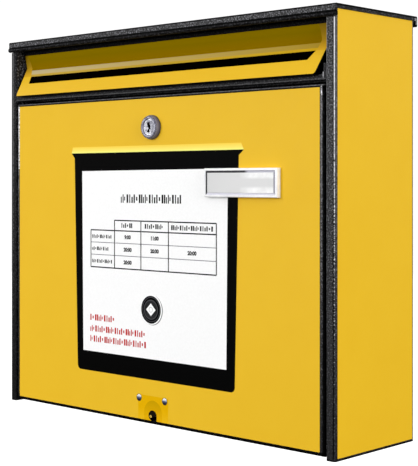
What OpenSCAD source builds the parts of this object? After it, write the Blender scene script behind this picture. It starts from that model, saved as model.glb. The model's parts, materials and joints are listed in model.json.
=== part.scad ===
// Wall mailbox: a folded sheet-steel casing with a letter flap, a drop-down door and a cam lock.
// X runs to the right, Y into the wall and Z up. The origin is the centre of the four wall holes,
// on the outer face of the back. Below, sizes in Z are counted from the bottom of the casing.

/* [Casing] */
// Width over the side sheets
body_w = 369; // [300:1:460]
// Height from the bottom edge to the top of the roof
body_h = 325; // [270:1:420]
// Depth from the front posts to the back
body_d = 100; // [80:1:150]
// Thickness of the folded steel sheet
sheet = 1; // [0.8:0.1:1.2]
// Visible width of each front post
post_w = 8; // [6:0.5:12]
// Depth of the fold that runs back from each post
post_fold = 16; // [16:1:24]
// Outside radius of the long vertical corners
corner_r = 2.5; // [1.5:0.5:4]
// Height of the floor pan's upturned edges
pan_h = 12; // [12:1:20]

/* [Roof] */
// How far the roof stands out at each side and at the front
roof_over = 1.1; // [1.1:0.1:3]
// Height of the front lip, its rolled bead included
lip_h = 9.1; // [8:0.1:14]
// Radius of the rolled bead
bead_r = 2; // [1.5:0.1:2.5]
// Height of the side lips
side_lip = 3.3; // [2:0.1:6]
// Height and depth of the rolled hem behind the back
hem_h = 8.1; // [6:0.1:12]
// How far that hem stands out behind the back
hem_d = 2.5; // [2.5:0.1:2.8]

/* [Letter flap] */
// Height from the top of the rail to the flap's hinge rod
slot_h = 40.2; // [36:0.1:60]
// Depth of the hinge rod behind the posts
hinge_back = 12; // [11:0.5:12]
// How far the flap's lower edge stands out in front of the posts
flap_out = 5.8; // [4:0.1:9]
// Height of the crease below the hinge rod
crease_drop = 14.6; // [9:0.1:16]
// Gap between the flap and a post, at the rod
flap_gap = 1.3; // [0.8:0.1:3]
// How much narrower each end is at the flap's lower edge
flap_taper = 5; // [2:0.5:8]
// Radius of the lower corners
flap_corner = 4; // [2:0.5:6]
// Radius of the hinge rod
rod_r = 1.5; // [1.2:0.1:1.8]

/* [Rail] */
// Height of the rail's front face
rail_face = 4.3; // [3:0.1:8]
// Depth of the ledge that letters slide over
rail_ledge = 20; // [20:1:24]
// Height of the fold behind the ledge, which the lock's cam grips
keep_h = 20; // [16:1:24]

/* [Door] */
// Gap between the door and each post
door_gap = 2; // [1.5:0.1:4]
// Gap between the door and the rail
door_top_gap = 2.8; // [2:0.1:5]
// Height of the door's lower edge
door_foot = 2; // [1:0.1:4]
// Depth of the door's folded edges
door_d = 12; // [12:0.5:16]
// Radius of the door's folded edges
door_r = 2; // [1.5:0.1:3]
// Height of the hinge pins
pin_z = 9; // [9:0.5:12]
// Depth of the hinge pins behind the posts
pin_back = 6; // [5:0.5:7]
// Radius of the hinge pins
pin_r = 2; // [1.5:0.1:2.5]
// Distance of the rubber buffers from the casing's middle
buffer_x = 150; // [60:1:150]

/* [Lock] */
// Distance of the lock's centre below the top of the door
lock_drop = 25.7; // [22:0.1:30]
// Radius of the lock's head
lock_head_r = 10; // [9:0.5:12]
// Radius of the threaded barrel
barrel_r = 8; // [7:0.5:8.5]
// Length of the barrel behind the door
barrel_len = 22; // [21:0.5:26]
// Radius of the plug that the key turns
plug_r = 5.45; // [4.5:0.05:6]
// Reach of the cam from the plug's axis
cam_reach = 32; // [30:0.5:36]
// Width of the cam
cam_w = 14; // [10:1:16]

/* [Name plate] */
// Width of the name plate
plate_w = 73.5; // [50:0.5:90]
// Height of the name plate
plate_h = 22.2; // [16:0.1:30]
// Distance of its centre to the right of the casing's middle
plate_x = 98; // [60:0.5:100]
// Distance of its centre below the top of the door
plate_drop = 70.5; // [50:0.5:120]

/* [Printed film] */
// Thickness of the film
film = 0.2; // [0.1:0.05:0.4]
// Bare margin round the door's film
door_margin = 3; // [2:0.1:8]
// Bare margin at the front and the back of a side's film
side_margin = 3; // [3:0.1:8]

/* [Wall fixing] */
// Distance of the wall holes from the sides
hole_side = 44.5; // [20:0.5:80]
// Distance of the lower wall holes from the bottom
hole_low = 50; // [25:1:80]
// Distance of the upper wall holes from the top
hole_high = 45; // [25:1:80]
// Radius of the wall holes
wall_hole_r = 3; // [2.5:0.1:4]
// Thickness of the rubber spacers behind the back
spacer_t = 3; // [3:0.1:6]

/* [Fits] */
// Radial clearance of a pin or a rod in its hole
run = 0.05; // [0.02:0.01:0.1]
// Gap between sheets that are welded or riveted together
seam = 0.1; // [0:0.05:0.2]
// Gap at rest between a moving part and its stop
stop_gap = 0.3; // [0.3:0.05:0.6]

/* [Hidden] */
$fn = 48;

black = [0.10, 0.10, 0.11];
yellow = [0.92, 0.73, 0.18];
chrome = [0.82, 0.82, 0.84];
zinc = [0.62, 0.64, 0.66];
rubber = [0.06, 0.06, 0.06];

// Casing
half_w = body_w / 2;
front = -body_d;
shell_h = body_h - sheet;
post_in = half_w - post_w;
bend_r = sheet + 0.2;
lip_bottom = body_h - lip_h;
bead_z = lip_bottom + bead_r;
lip_front = front - roof_over + seam;
bead_y = lip_front + sheet;

// Rail, flap and door, from the top down
rod_z = body_h - lip_h - 0.4;
rod_y = front + hinge_back;
loop_r = rod_r + run + sheet + 0.45;
rail_top = rod_z - slot_h;
rail_bottom = rail_top - rail_face;
rail_end = post_in - seam;
keep_y = front + rail_ledge;
tab_h = 7.7;
tab_w = 2;
tab_r = 4;
flap_half = post_in - flap_gap;
flap_foot = rail_top - 0.9;
crease_back = hinge_back - 1.9;
door_top = rail_bottom - door_top_gap;
door_half = post_in - door_gap;
door_lip_h = 8;
pin_y = front + pin_back;
foot_d = 8;

// The floor pan's front edge is the open door's stop. Nothing behind the pins turns further back
// than foot_sweep, so the sides of the door are cut off below side_cut_z
foot_sweep = max(norm([foot_d - pin_back, pin_z - door_foot]), door_d - pin_back);
side_cut_z = pin_z - sqrt(pow(foot_sweep, 2) - pow(door_d - pin_back, 2));
pan_front = pin_y + foot_sweep + stop_gap;
pan_z = door_foot;
pan_end = half_w - sheet - seam;
buffer_r = 4;
buffer_z = door_top - sheet - door_lip_h / 2;

// Rivets
rivet_r = 1.6;
rivet_head_r = 3.2;
rivet_head_h = 1.1;
pan_rivets = [for (share = [-0.8, -0.3, 0.3, 0.8]) share * half_w];
pan_rivet_z = pan_z + 6;
rail_rivet_z = rail_top + 3.5;
rail_rivets = [front + 5, front + 12];

// Lock, along its own axis: 0 is the door's front face and positive is outwards
lock_z = door_top - lock_drop;
washer_t = 1;
nut_t = 4;
nut_r = 12.7;
cam_t = 2;
square_w = 6.4;
square_gap = 0.1;
cam_face = -barrel_len - 0.7;
screw_r = 2;
screw_head_r = 4;
screw_head_h = 2.3;
screw_len = 11;
head_out = 4.6;

// Name plate
plate_base_t = 1;
insert_t = 0.3;
cover_t = 3;
plate_rim = 3;

// Wall holes and spacers
hole_dx = body_w - 2 * hole_side;
hole_dz = body_h - hole_low - hole_high;
mount_h = hole_low + hole_dz / 2;
spacer_r = 9;

function unit(v) = v / norm(v);
function flat(p) = [p[0], p[1]];
function reversed(list) = [for (i = [len(list) - 1:-1:0]) list[i]];

// Points that round corner p, whose third number is its radius, between neighbours a and b
function bend(a, p, b, steps = 6) =
    p[2] == 0 || p[2] == undef ? [flat(p)] :
    let (
        u = unit(flat(a) - flat(p)),
        v = unit(flat(b) - flat(p)),
        half = acos(u * v) / 2,
        centre = flat(p) + unit(u + v) * p[2] / sin(half),
        from = flat(p) + u * p[2] / tan(half) - centre,
        turn = (180 - 2 * half) * sign(cross(-u, v))
    )
    [for (i = [0:steps])
        let (s = turn * i / steps)
        centre + [from.x * cos(s) - from.y * sin(s), from.x * sin(s) + from.y * cos(s)]];

// An open path with its inner corners rounded
function rounded(path) = [
    for (i = [0:len(path) - 1])
        each (i == 0 || i == len(path) - 1 ? [flat(path[i])] : bend(path[i - 1], path[i], path[i + 1]))
];

// The same path moved to its left by t
function beside(p, t) = [
    for (i = [0:len(p) - 1])
        let (
            before = i == 0 ? p[1] - p[0] : p[i] - p[i - 1],
            after = i == len(p) - 1 ? p[i] - p[i - 1] : p[i + 1] - p[i],
            m = unit([-before.y, before.x]),
            n = unit([-after.y, after.x])
        )
        p[i] + t * (m + n) / (1 + m * n)
];

// Section of a folded sheet: path is one face of it and the metal lies to the path's left
module folded(path, t = sheet) {
    face = rounded(path);
    polygon(concat(face, reversed(beside(face, t))));
}

// A section drawn in Y and Z, run along X
module along_x(w) {
    rotate([90, 0, 90]) linear_extrude(w, center = true) children();
}

// An outline drawn in X and Z, made a plate whose front face is at y
module facing(y, t) {
    translate([0, y + t, 0]) rotate([90, 0, 0]) linear_extrude(t) children();
}

// A box given by its lowest and highest corner
module block(low, high) {
    translate(low) cube(high - low);
}

// Children at the right and their mirror image at the left
module both_sides() {
    children();
    mirror([1, 0, 0]) children();
}

// A shallow folded tray, open at the back, with rounded front edges
module tray_solid(half, low, high, face, back, r) {
    intersection() {
        translate([0, 0, low]) linear_extrude(high - low)
            polygon(rounded([[-half, back], [-half, face, r], [half, face, r], [half, back]]));
        along_x(2 * half)
            polygon(rounded([[back, low], [face, low, r], [face, high, r], [back, high]]));
    }
}

// A domed head on a flat base at Z = 0
module dome(r, h) {
    ball = (r * r + h * h) / (2 * h);
    intersection() {
        translate([0, 0, h - ball]) sphere(ball);
        cylinder(h = h, r = r);
    }
}

// A rivet along Z through a stack of sheets that reaches from 0 down to -grip
module rivet(grip) {
    dome(rivet_head_r, rivet_head_h);
    translate([0, 0, -grip]) {
        cylinder(h = grip, r = rivet_r);
        mirror([0, 0, 1]) dome(rivet_head_r * 0.8, rivet_head_h);
    }
}

// Children at each wall hole, with Z pointing out of the back
module at_wall_holes() {
    for (x = [-1, 1], z = [-1, 1])
        translate([x * hole_dx / 2, 0, mount_h + z * hole_dz / 2]) rotate([-90, 0, 0]) children();
}

// Children on the lock's axis, with Z pointing out of the door
module on_lock_axis() {
    translate([0, front, lock_z]) rotate([90, 0, 0]) children();
}

// Outline of the flap seen from the front, drawn in X and Z, with rounded lower corners
module flap_outline(inset) {
    top = rod_z + loop_r + 1;
    half = flap_half - inset;
    foot = flap_foot;
    low_half = half - flap_taper;
    polygon(rounded([
        [-half, top], [-half, rod_z], [-low_half, foot, flap_corner],
        [low_half, foot, flap_corner], [half, rod_z], [half, top]
    ]));
}

// The flap's front face, in Y and Z, from the hinge loop to the lower edge
flap_face = [
    [rod_y - loop_r, rod_z],
    [front + crease_back, rod_z - crease_drop, 1.5],
    [front - flap_out, flap_foot, bend_r]
];

module body_shell() {
    plan = [
        [post_in, front + post_fold], [post_in, front, bend_r], [half_w, front, corner_r],
        [half_w, 0, corner_r], [-half_w, 0, corner_r],
        [-half_w, front, corner_r], [-post_in, front, bend_r], [-post_in, front + post_fold]
    ];
    color(black)
    difference() {
        linear_extrude(shell_h) folded(plan);
        block([-half_w - 1, front - 1, lip_bottom - stop_gap],
              [half_w + 1, bead_y + bead_r + stop_gap, body_h]);
        at_wall_holes() translate([0, 0, -5]) cylinder(h = 10, r = wall_hole_r);
        translate([0, pin_y, pin_z]) rotate([0, 90, 0])
            cylinder(h = 2 * (post_in + sheet + 1), r = pin_r + run, center = true);
        translate([0, rod_y, rod_z]) rotate([0, 90, 0])
            cylinder(h = 2 * (post_in + sheet + 1), r = rod_r + run, center = true);
        for (x = pan_rivets)
            translate([x, 0, pan_rivet_z]) rotate([90, 0, 0])
                cylinder(h = 6, r = rivet_r + run, center = true);
        for (y = rail_rivets)
            translate([0, y, rail_rivet_z]) rotate([0, 90, 0])
                cylinder(h = 2 * (post_in + sheet + 1), r = rivet_r + run, center = true);
    }
}

module floor_pan() {
    pan_back = -sheet - seam;
    notch_x = post_in - seam;
    notch_y = front + post_fold + seam;
    drain_r = 3;
    color(black)
    difference() {
        translate([0, 0, pan_z]) linear_extrude(pan_h)
            polygon(rounded([
                [-pan_end, pan_front], [-pan_end, pan_back, corner_r], [pan_end, pan_back, corner_r],
                [pan_end, pan_front]
            ]));
        block([-pan_end + sheet, pan_front + sheet, pan_z + sheet],
              [pan_end - sheet, pan_back - sheet, pan_z + pan_h + 1]);
        both_sides()
            block([notch_x, pan_front - 1, pan_z - 1], [half_w, notch_y, pan_z + pan_h + 1]);
        for (x = pan_rivets)
            translate([x, pan_back, pan_rivet_z]) rotate([90, 0, 0])
                cylinder(h = 6, r = rivet_r + run, center = true);
        for (x = [-0.7, 0.7], y = [0.25, 0.75])
            translate([x * half_w, front * y, pan_z - 1]) cylinder(h = sheet + 2, r = drain_r);
    }
}

module front_rail() {
    color(black)
    difference() {
        union() {
            along_x(2 * rail_end)
                folded([
                    [keep_y, rail_top - keep_h], [keep_y, rail_top, bend_r],
                    [front, rail_top, bend_r], [front, rail_bottom]
                ]);
            both_sides() {
                facing(front, sheet)
                    polygon(concat(
                        [[rail_end, rail_top - sheet - 1], [rail_end, rail_top + tab_h]],
                        rounded([
                            [rail_end - tab_w, rail_top + tab_h],
                            [rail_end - tab_w, rail_top - sheet / 2, tab_r],
                            [rail_end - tab_w - 2 * tab_r, rail_top - sheet / 2]
                        ]),
                        [[rail_end - tab_w - 2 * tab_r, rail_top - sheet - 1]]
                    ));
                block([rail_end - sheet, front + sheet / 2, rail_bottom],
                      [rail_end, keep_y - sheet / 2, rail_top + tab_h]);
            }
        }
        for (y = rail_rivets)
            translate([0, y, rail_rivet_z]) rotate([0, 90, 0])
                cylinder(h = 2 * rail_end + 2, r = rivet_r + run, center = true);
    }
}

module roof() {
    edge = half_w + roof_over;
    color(black) {
        along_x(2 * edge) {
            folded([
                [seam, body_h - hem_h], [hem_d, body_h - hem_h, bend_r], [hem_d, body_h, bend_r],
                [lip_front, body_h, bend_r], [lip_front, bead_z]
            ]);
            translate([bead_y, bead_z]) circle(bead_r);
        }
        both_sides()
            block([half_w + seam, lip_front, body_h - side_lip], [edge, 0, body_h - sheet / 2]);
    }
}

module casing_rivets() {
    color(black) {
        for (x = pan_rivets)
            translate([x, 0, pan_rivet_z]) rotate([-90, 0, 0]) rivet(2 * sheet + seam);
        both_sides()
            for (y = rail_rivets)
                translate([rail_end - sheet, y, rail_rivet_z]) rotate([0, -90, 0])
                    rivet(2 * sheet + seam);
    }
}

module wall_spacers() {
    color(rubber)
    at_wall_holes()
        difference() {
            cylinder(h = spacer_t, r = spacer_r);
            translate([0, 0, -1]) cylinder(h = spacer_t + 2, r = wall_hole_r);
        }
}

// Rubber buffers on the rail's rear fold, which the door's upper lip shuts against
module door_buffers() {
    door_lip_back = front + door_d;
    color(rubber)
    both_sides()
        translate([buffer_x, keep_y - sheet, buffer_z]) rotate([90, 0, 0])
            cylinder(h = keep_y - sheet - door_lip_back - stop_gap, r = buffer_r);
}

module side_film(side) {
    low = door_foot;
    high = body_h - side_lip - stop_gap;
    color(yellow)
    mirror([side == "left" ? 1 : 0, 0, 0])
        block([half_w, front + side_margin, low], [half_w + film, -side_margin, high]);
}

module flap_rod() {
    color(zinc)
    translate([0, rod_y, rod_z]) rotate([0, 90, 0])
        cylinder(h = 2 * (post_in + sheet + 2.5), r = rod_r, center = true);
}

module rod_caps() {
    cap_t = 1.5;
    color(zinc)
    both_sides()
        translate([post_in + sheet + seam, rod_y, rod_z]) rotate([0, 90, 0])
            difference() {
                cylinder(h = cap_t, r = 2 * rod_r);
                translate([0, 0, -1]) cylinder(h = cap_t + 2, r = rod_r);
            }
}

module flap_panel() {
    lip_back = front - stop_gap;
    color(black)
    intersection() {
        along_x(2 * flap_half)
            difference() {
                union() {
                    folded(concat(flap_face, [[lip_back, flap_foot]]));
                    translate([rod_y, rod_z]) circle(loop_r);
                }
                translate([rod_y, rod_z]) circle(rod_r + run);
            }
        facing(front - 20, 60) flap_outline(0);
    }
}

module flap_film() {
    start = flap_face[0];
    crease = flap_face[1];
    foot = flap_face[2];
    down = unit(flat(crease) - flat(start));
    away = unit(flat(crease) - flat(foot));
    color(yellow)
    intersection() {
        along_x(2 * flap_half)
            folded([
                flat(foot) + away * 1.2, [crease.x, crease.y, crease[2]], flat(start) + down * 2.6
            ], film);
        facing(front - 20, 60) flap_outline(0.3);
    }
}

module door_panel() {
    back = front + door_d;
    color(black)
    difference() {
        union() {
            difference() {
                tray_solid(door_half, door_foot, door_top, front, back, door_r);
                tray_solid(door_half - sheet, door_foot + sheet, door_top - sheet,
                           front + sheet, back + 1, door_r - sheet);
            }
            block([-door_half + sheet, back - sheet, door_top - sheet - door_lip_h],
                  [door_half - sheet, back, door_top - sheet / 2]);
        }
        block([-half_w, front + foot_d, 0], [half_w, back + 1, side_cut_z]);
        translate([0, pin_y, pin_z]) rotate([0, 90, 0])
            cylinder(h = 2 * door_half + 2, r = pin_r + run, center = true);
        on_lock_axis() translate([0, 0, -door_d]) cylinder(h = 2 * door_d, r = barrel_r + run);
    }
}

module door_film() {
    half = door_half - door_margin - 0.5;
    low = door_foot + door_margin;
    high = door_top - door_margin + 0.8;
    r = 0.8;
    color(yellow)
    difference() {
        facing(front - film, film)
            polygon(rounded([
                [0, low], [half, low, r], [half, high, r], [-half, high, r], [-half, low, r], [0, low]
            ]));
        on_lock_axis() translate([0, 0, -1]) cylinder(h = 3, r = barrel_r + run);
    }
}

module door_pins() {
    head_t = 1.5;
    head_r = 3.5;
    collar_r = 3.2;
    color(zinc)
    both_sides()
        translate([0, pin_y, pin_z]) rotate([0, 90, 0]) {
            translate([0, 0, door_half - sheet - seam - head_t]) cylinder(h = head_t, r = head_r);
            translate([0, 0, door_half - sheet - seam - head_t])
                cylinder(h = door_gap + 2 * sheet + seam + head_t + 2, r = pin_r);
            translate([0, 0, door_half + seam])
                cylinder(h = door_gap - seam - stop_gap, r = collar_r);
        }
}

module lock_housing() {
    rim = lock_head_r;
    color(chrome)
    on_lock_axis()
        difference() {
            rotate_extrude()
                polygon([
                    [plug_r + run, -barrel_len], [barrel_r, -barrel_len], [barrel_r, film],
                    [rim, film], [rim, film + 1.4], [rim - 0.8, head_out - 0.6],
                    [rim - 1.6, head_out], [rim - 2.8, head_out], [rim - 3.4, head_out - 1.2],
                    [plug_r + run, head_out - 1.2]
                ]);
            for (side = [0, 180])
                rotate([0, 0, side])
                    block([barrel_r * 0.92, -barrel_r, -barrel_len - 1],
                          [barrel_r + 1, barrel_r, -sheet - washer_t - nut_t]);
        }
}

module lock_washer() {
    color(zinc)
    on_lock_axis()
        translate([0, 0, -sheet - washer_t])
            difference() {
                cylinder(h = washer_t, r = nut_r - 0.7);
                translate([0, 0, -1]) cylinder(h = washer_t + 2, r = barrel_r + run);
            }
}

module lock_nut() {
    color(zinc)
    on_lock_axis()
        translate([0, 0, -sheet - washer_t - nut_t])
            difference() {
                cylinder(h = nut_t, r = nut_r, $fn = 6);
                translate([0, 0, -1]) cylinder(h = nut_t + 2, r = barrel_r + run);
            }
}

module nameplate_at() {
    translate([plate_x, front - film, door_top - plate_drop]) rotate([90, 0, 0]) children();
}

module nameplate_base() {
    color([0.85, 0.85, 0.84])
    nameplate_at()
        translate([-plate_w / 2, -plate_h / 2, 0]) cube([plate_w, plate_h, plate_base_t]);
}

module nameplate_insert() {
    w = plate_w - 2 * plate_rim;
    h = plate_h - 2 * plate_rim + 1;
    color([0.93, 0.93, 0.91])
    nameplate_at()
        translate([-w / 2, -h / 2, plate_base_t]) cube([w, h, insert_t]);
}

module nameplate_cover() {
    bevel = 1.2;
    w = plate_w - 2 * plate_rim + 2 * seam;
    h = plate_h - 2 * plate_rim + 1 + 2 * seam;
    color([0.9, 0.92, 0.94, 0.5])
    nameplate_at()
        difference() {
            hull() {
                translate([-plate_w / 2, -plate_h / 2, plate_base_t])
                    cube([plate_w, plate_h, cover_t - bevel]);
                translate([-plate_w / 2 + bevel, -plate_h / 2 + bevel, plate_base_t])
                    cube([plate_w - 2 * bevel, plate_h - 2 * bevel, cover_t]);
            }
            translate([-w / 2, -h / 2, plate_base_t - 1]) cube([w, h, 1 + insert_t + seam]);
        }
}

module lock_plug() {
    face = head_out - 1.4;
    slot_w = 1.2;
    slot_h = 3.4;
    slot_deep = 10;
    color(chrome)
    on_lock_axis()
        difference() {
            union() {
                translate([0, 0, -barrel_len - 0.5]) cylinder(h = barrel_len + 0.5 + face, r = plug_r);
                translate([-square_w / 2, -square_w / 2, cam_face - cam_t])
                    cube([square_w, square_w, cam_t + 1]);
            }
            for (k = [-1, 0, 1])
                translate([k == 0 ? 0.5 : -0.5, k * (slot_h - 1) - slot_h / 2, face - slot_deep])
                    translate([-slot_w / 2, 0, 0]) cube([slot_w, slot_h, slot_deep + 1]);
            translate([0, 0, cam_face - cam_t - 1])
                cylinder(h = screw_len + 2, r = screw_r + run);
        }
}

module lock_cam() {
    hole = square_w + 2 * square_gap;
    color(zinc)
    on_lock_axis()
        translate([0, 0, cam_face - cam_t])
            difference() {
                union() {
                    cylinder(h = cam_t, r = cam_w / 2);
                    translate([0, -cam_w / 2, 0]) cube([cam_reach - cam_w / 2, cam_w, cam_t]);
                    translate([cam_reach - cam_w / 2, 0, 0]) cylinder(h = cam_t, r = cam_w / 2);
                }
                translate([-hole / 2, -hole / 2, -1]) cube([hole, hole, cam_t + 2]);
            }
}

module cam_screw() {
    base = cam_face - cam_t - seam;
    color(zinc)
    on_lock_axis()
        difference() {
            union() {
                translate([0, 0, base - screw_head_h]) cylinder(h = screw_head_h, r = screw_head_r);
                translate([0, 0, base - 0.01]) cylinder(h = screw_len, r = screw_r);
            }
            translate([-screw_head_r, -0.5, base - screw_head_h - 1])
                cube([2 * screw_head_r, 1, 1 + screw_head_h / 2]);
        }
}

translate([0, 0, -mount_h]) {
    body_shell();
    floor_pan();
    front_rail();
    roof();
    casing_rivets();
    wall_spacers();
    door_buffers();
    side_film("left");  // side_film_left
    side_film("right");  // side_film_right
    flap_rod();
    rod_caps();
    flap_panel();
    flap_film();
    door_panel();
    door_film();
    door_pins();
    lock_housing();
    lock_washer();
    lock_nut();
    nameplate_base();
    nameplate_insert();
    nameplate_cover();
    lock_plug();
    lock_cam();
    cam_screw();
}
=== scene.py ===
import json
import math

import bmesh
import bpy
from bpy.props import FloatProperty, FloatVectorProperty, PointerProperty
from mathutils import Matrix, Vector


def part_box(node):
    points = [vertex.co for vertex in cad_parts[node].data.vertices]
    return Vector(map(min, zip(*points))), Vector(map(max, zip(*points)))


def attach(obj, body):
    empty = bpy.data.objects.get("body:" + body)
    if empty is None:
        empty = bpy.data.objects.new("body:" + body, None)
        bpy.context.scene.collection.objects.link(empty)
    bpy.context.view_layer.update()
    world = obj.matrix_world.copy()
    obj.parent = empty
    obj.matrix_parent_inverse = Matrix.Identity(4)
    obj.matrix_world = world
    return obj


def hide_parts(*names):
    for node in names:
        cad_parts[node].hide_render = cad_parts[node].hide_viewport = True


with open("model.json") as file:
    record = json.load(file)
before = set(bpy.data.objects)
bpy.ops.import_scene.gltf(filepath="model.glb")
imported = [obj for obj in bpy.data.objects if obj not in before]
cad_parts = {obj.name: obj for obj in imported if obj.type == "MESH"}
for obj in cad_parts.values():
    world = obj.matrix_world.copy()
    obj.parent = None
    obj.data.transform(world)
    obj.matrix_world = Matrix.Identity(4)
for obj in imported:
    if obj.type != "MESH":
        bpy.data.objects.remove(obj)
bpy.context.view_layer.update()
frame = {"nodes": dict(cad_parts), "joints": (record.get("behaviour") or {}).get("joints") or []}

bl_info = {
    "name": "Wall mailbox finish",
    "version": (1, 0, 0),
    "blender": (4, 5, 0),
    "location": "View3D > Sidebar > Mailbox",
    "description": "Coats, films, print and small fittings of a wall-mounted sheet-steel mailbox",
    "category": "Object",
}

MM = 0.001


# Places, all taken from the fixed frame, in metres

DOOR_LOW, DOOR_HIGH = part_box("door_panel")
FILM_LOW, FILM_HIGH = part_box("door_film")
PLATE_LOW, PLATE_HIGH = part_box("nameplate_cover")
LOCK_LOW, LOCK_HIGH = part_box("lock_housing")
SHELL_LOW, SHELL_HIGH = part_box("body_shell")
FLAP_LOW, FLAP_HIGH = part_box("flap_panel")
JOINTS = {joint["name"]: joint for joint in frame["joints"]}

# The flap's face drops straight from the rod's loop to the crease, then leans out to its foot
ROD = Vector(JOINTS["flap_hinge"]["pos_m"])
CREASE = ROD + Vector((0, -1.9 * MM, -14.6 * MM))
FLAP_FOOT = ROD + Vector((0, -17.8 * MM, -41.1 * MM))
FACE_DOWN = (FLAP_FOOT - CREASE).normalized()
FACE_OUT = Vector((0, FACE_DOWN.z, -FACE_DOWN.y))

# Ink is drawn as plates this thick in millimetres, each on the surface below it
INK = 0.04


def upright_plane(x, front, z):
    """Matrix from a drawing in millimetres (right, up, out) to a plane that faces the front."""
    return Matrix((
        (MM, 0, 0, x),
        (0, 0, -MM, front),
        (0, MM, 0, z),
        (0, 0, 0, 1),
    ))


# Colour and material tools


def linear(code):
    """An sRGB colour such as "#EBBC30" as linear red, green and blue, with an alpha of one."""
    values = []
    for start in (1, 3, 5):
        c = int(code[start:start + 2], 16) / 255
        values.append(c / 12.92 if c <= 0.04045 else ((c + 0.055) / 1.055) ** 2.4)
    return (*values, 1.0)


def per_mm(size):
    """Texture scale that makes one feature about size millimetres wide."""
    return 1 / (size * MM)


def add_node(tree, kind, inputs=None, stops=None, **settings):
    """Adds a node, sets it, and fills its inputs with values or with links from other sockets."""
    made = tree.nodes.new(kind)
    for key, value in settings.items():
        setattr(made, key, value)
    for key, value in (inputs or {}).items():
        if isinstance(value, bpy.types.NodeSocket):
            tree.links.new(value, made.inputs[key])
        else:
            made.inputs[key].default_value = value
    if stops:
        ramp = made.color_ramp.elements
        while len(ramp) < len(stops):
            ramp.new(0.5)
        for element, (place, colour) in zip(ramp, stops):
            element.position = place
            element.color = colour
    return made


def start_material(name, **sockets):
    """A material, its tree, its shader with the given socket values, and object coordinates."""
    material = bpy.data.materials.new(name)
    material.use_nodes = True
    tree = material.node_tree
    shader = tree.nodes["Principled BSDF"]
    for key, value in sockets.items():
        shader.inputs[key.replace("_", " ")].default_value = value
    place = add_node(tree, "ShaderNodeTexCoord").outputs["Object"]
    return material, tree, shader, place


def roughen(tree, shader, place, size, depth, spread=None, detail=2.0):
    """Grain of that size and bump of that depth, both in millimetres.

    Roughness varies over spread where it is given. Returns the grain."""
    grain = add_node(tree, "ShaderNodeTexNoise", {
        "Vector": place, "Scale": per_mm(size), "Detail": detail, "Roughness": 0.6,
    })
    bump = add_node(tree, "ShaderNodeBump", {
        "Height": grain.outputs["Fac"], "Strength": 1.0, "Distance": depth * MM,
    })
    tree.links.new(bump.outputs["Normal"], shader.inputs["Normal"])
    if spread:
        span = add_node(tree, "ShaderNodeMapRange", {
            "Value": grain.outputs["Fac"], "From Min": 0.3, "From Max": 0.7,
            "To Min": spread[0], "To Max": spread[1],
        })
        tree.links.new(span.outputs["Result"], shader.inputs["Roughness"])
    return grain


def inside(tree, axes, limits):
    """One within the limits, else nothing; each is an axis, a low and a high in millimetres."""
    mask = None
    for axis, low, high in limits:
        near = add_node(tree, "ShaderNodeMath", {
            0: axes[axis], 1: (low + high) / 2 * MM, 2: (high - low) / 2 * MM,
        }, operation="COMPARE")
        if mask is not None:
            near = add_node(tree, "ShaderNodeMath", {
                0: mask, 1: near.outputs[0]}, operation="MULTIPLY")
        mask = near.outputs[0]
    return mask


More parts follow.
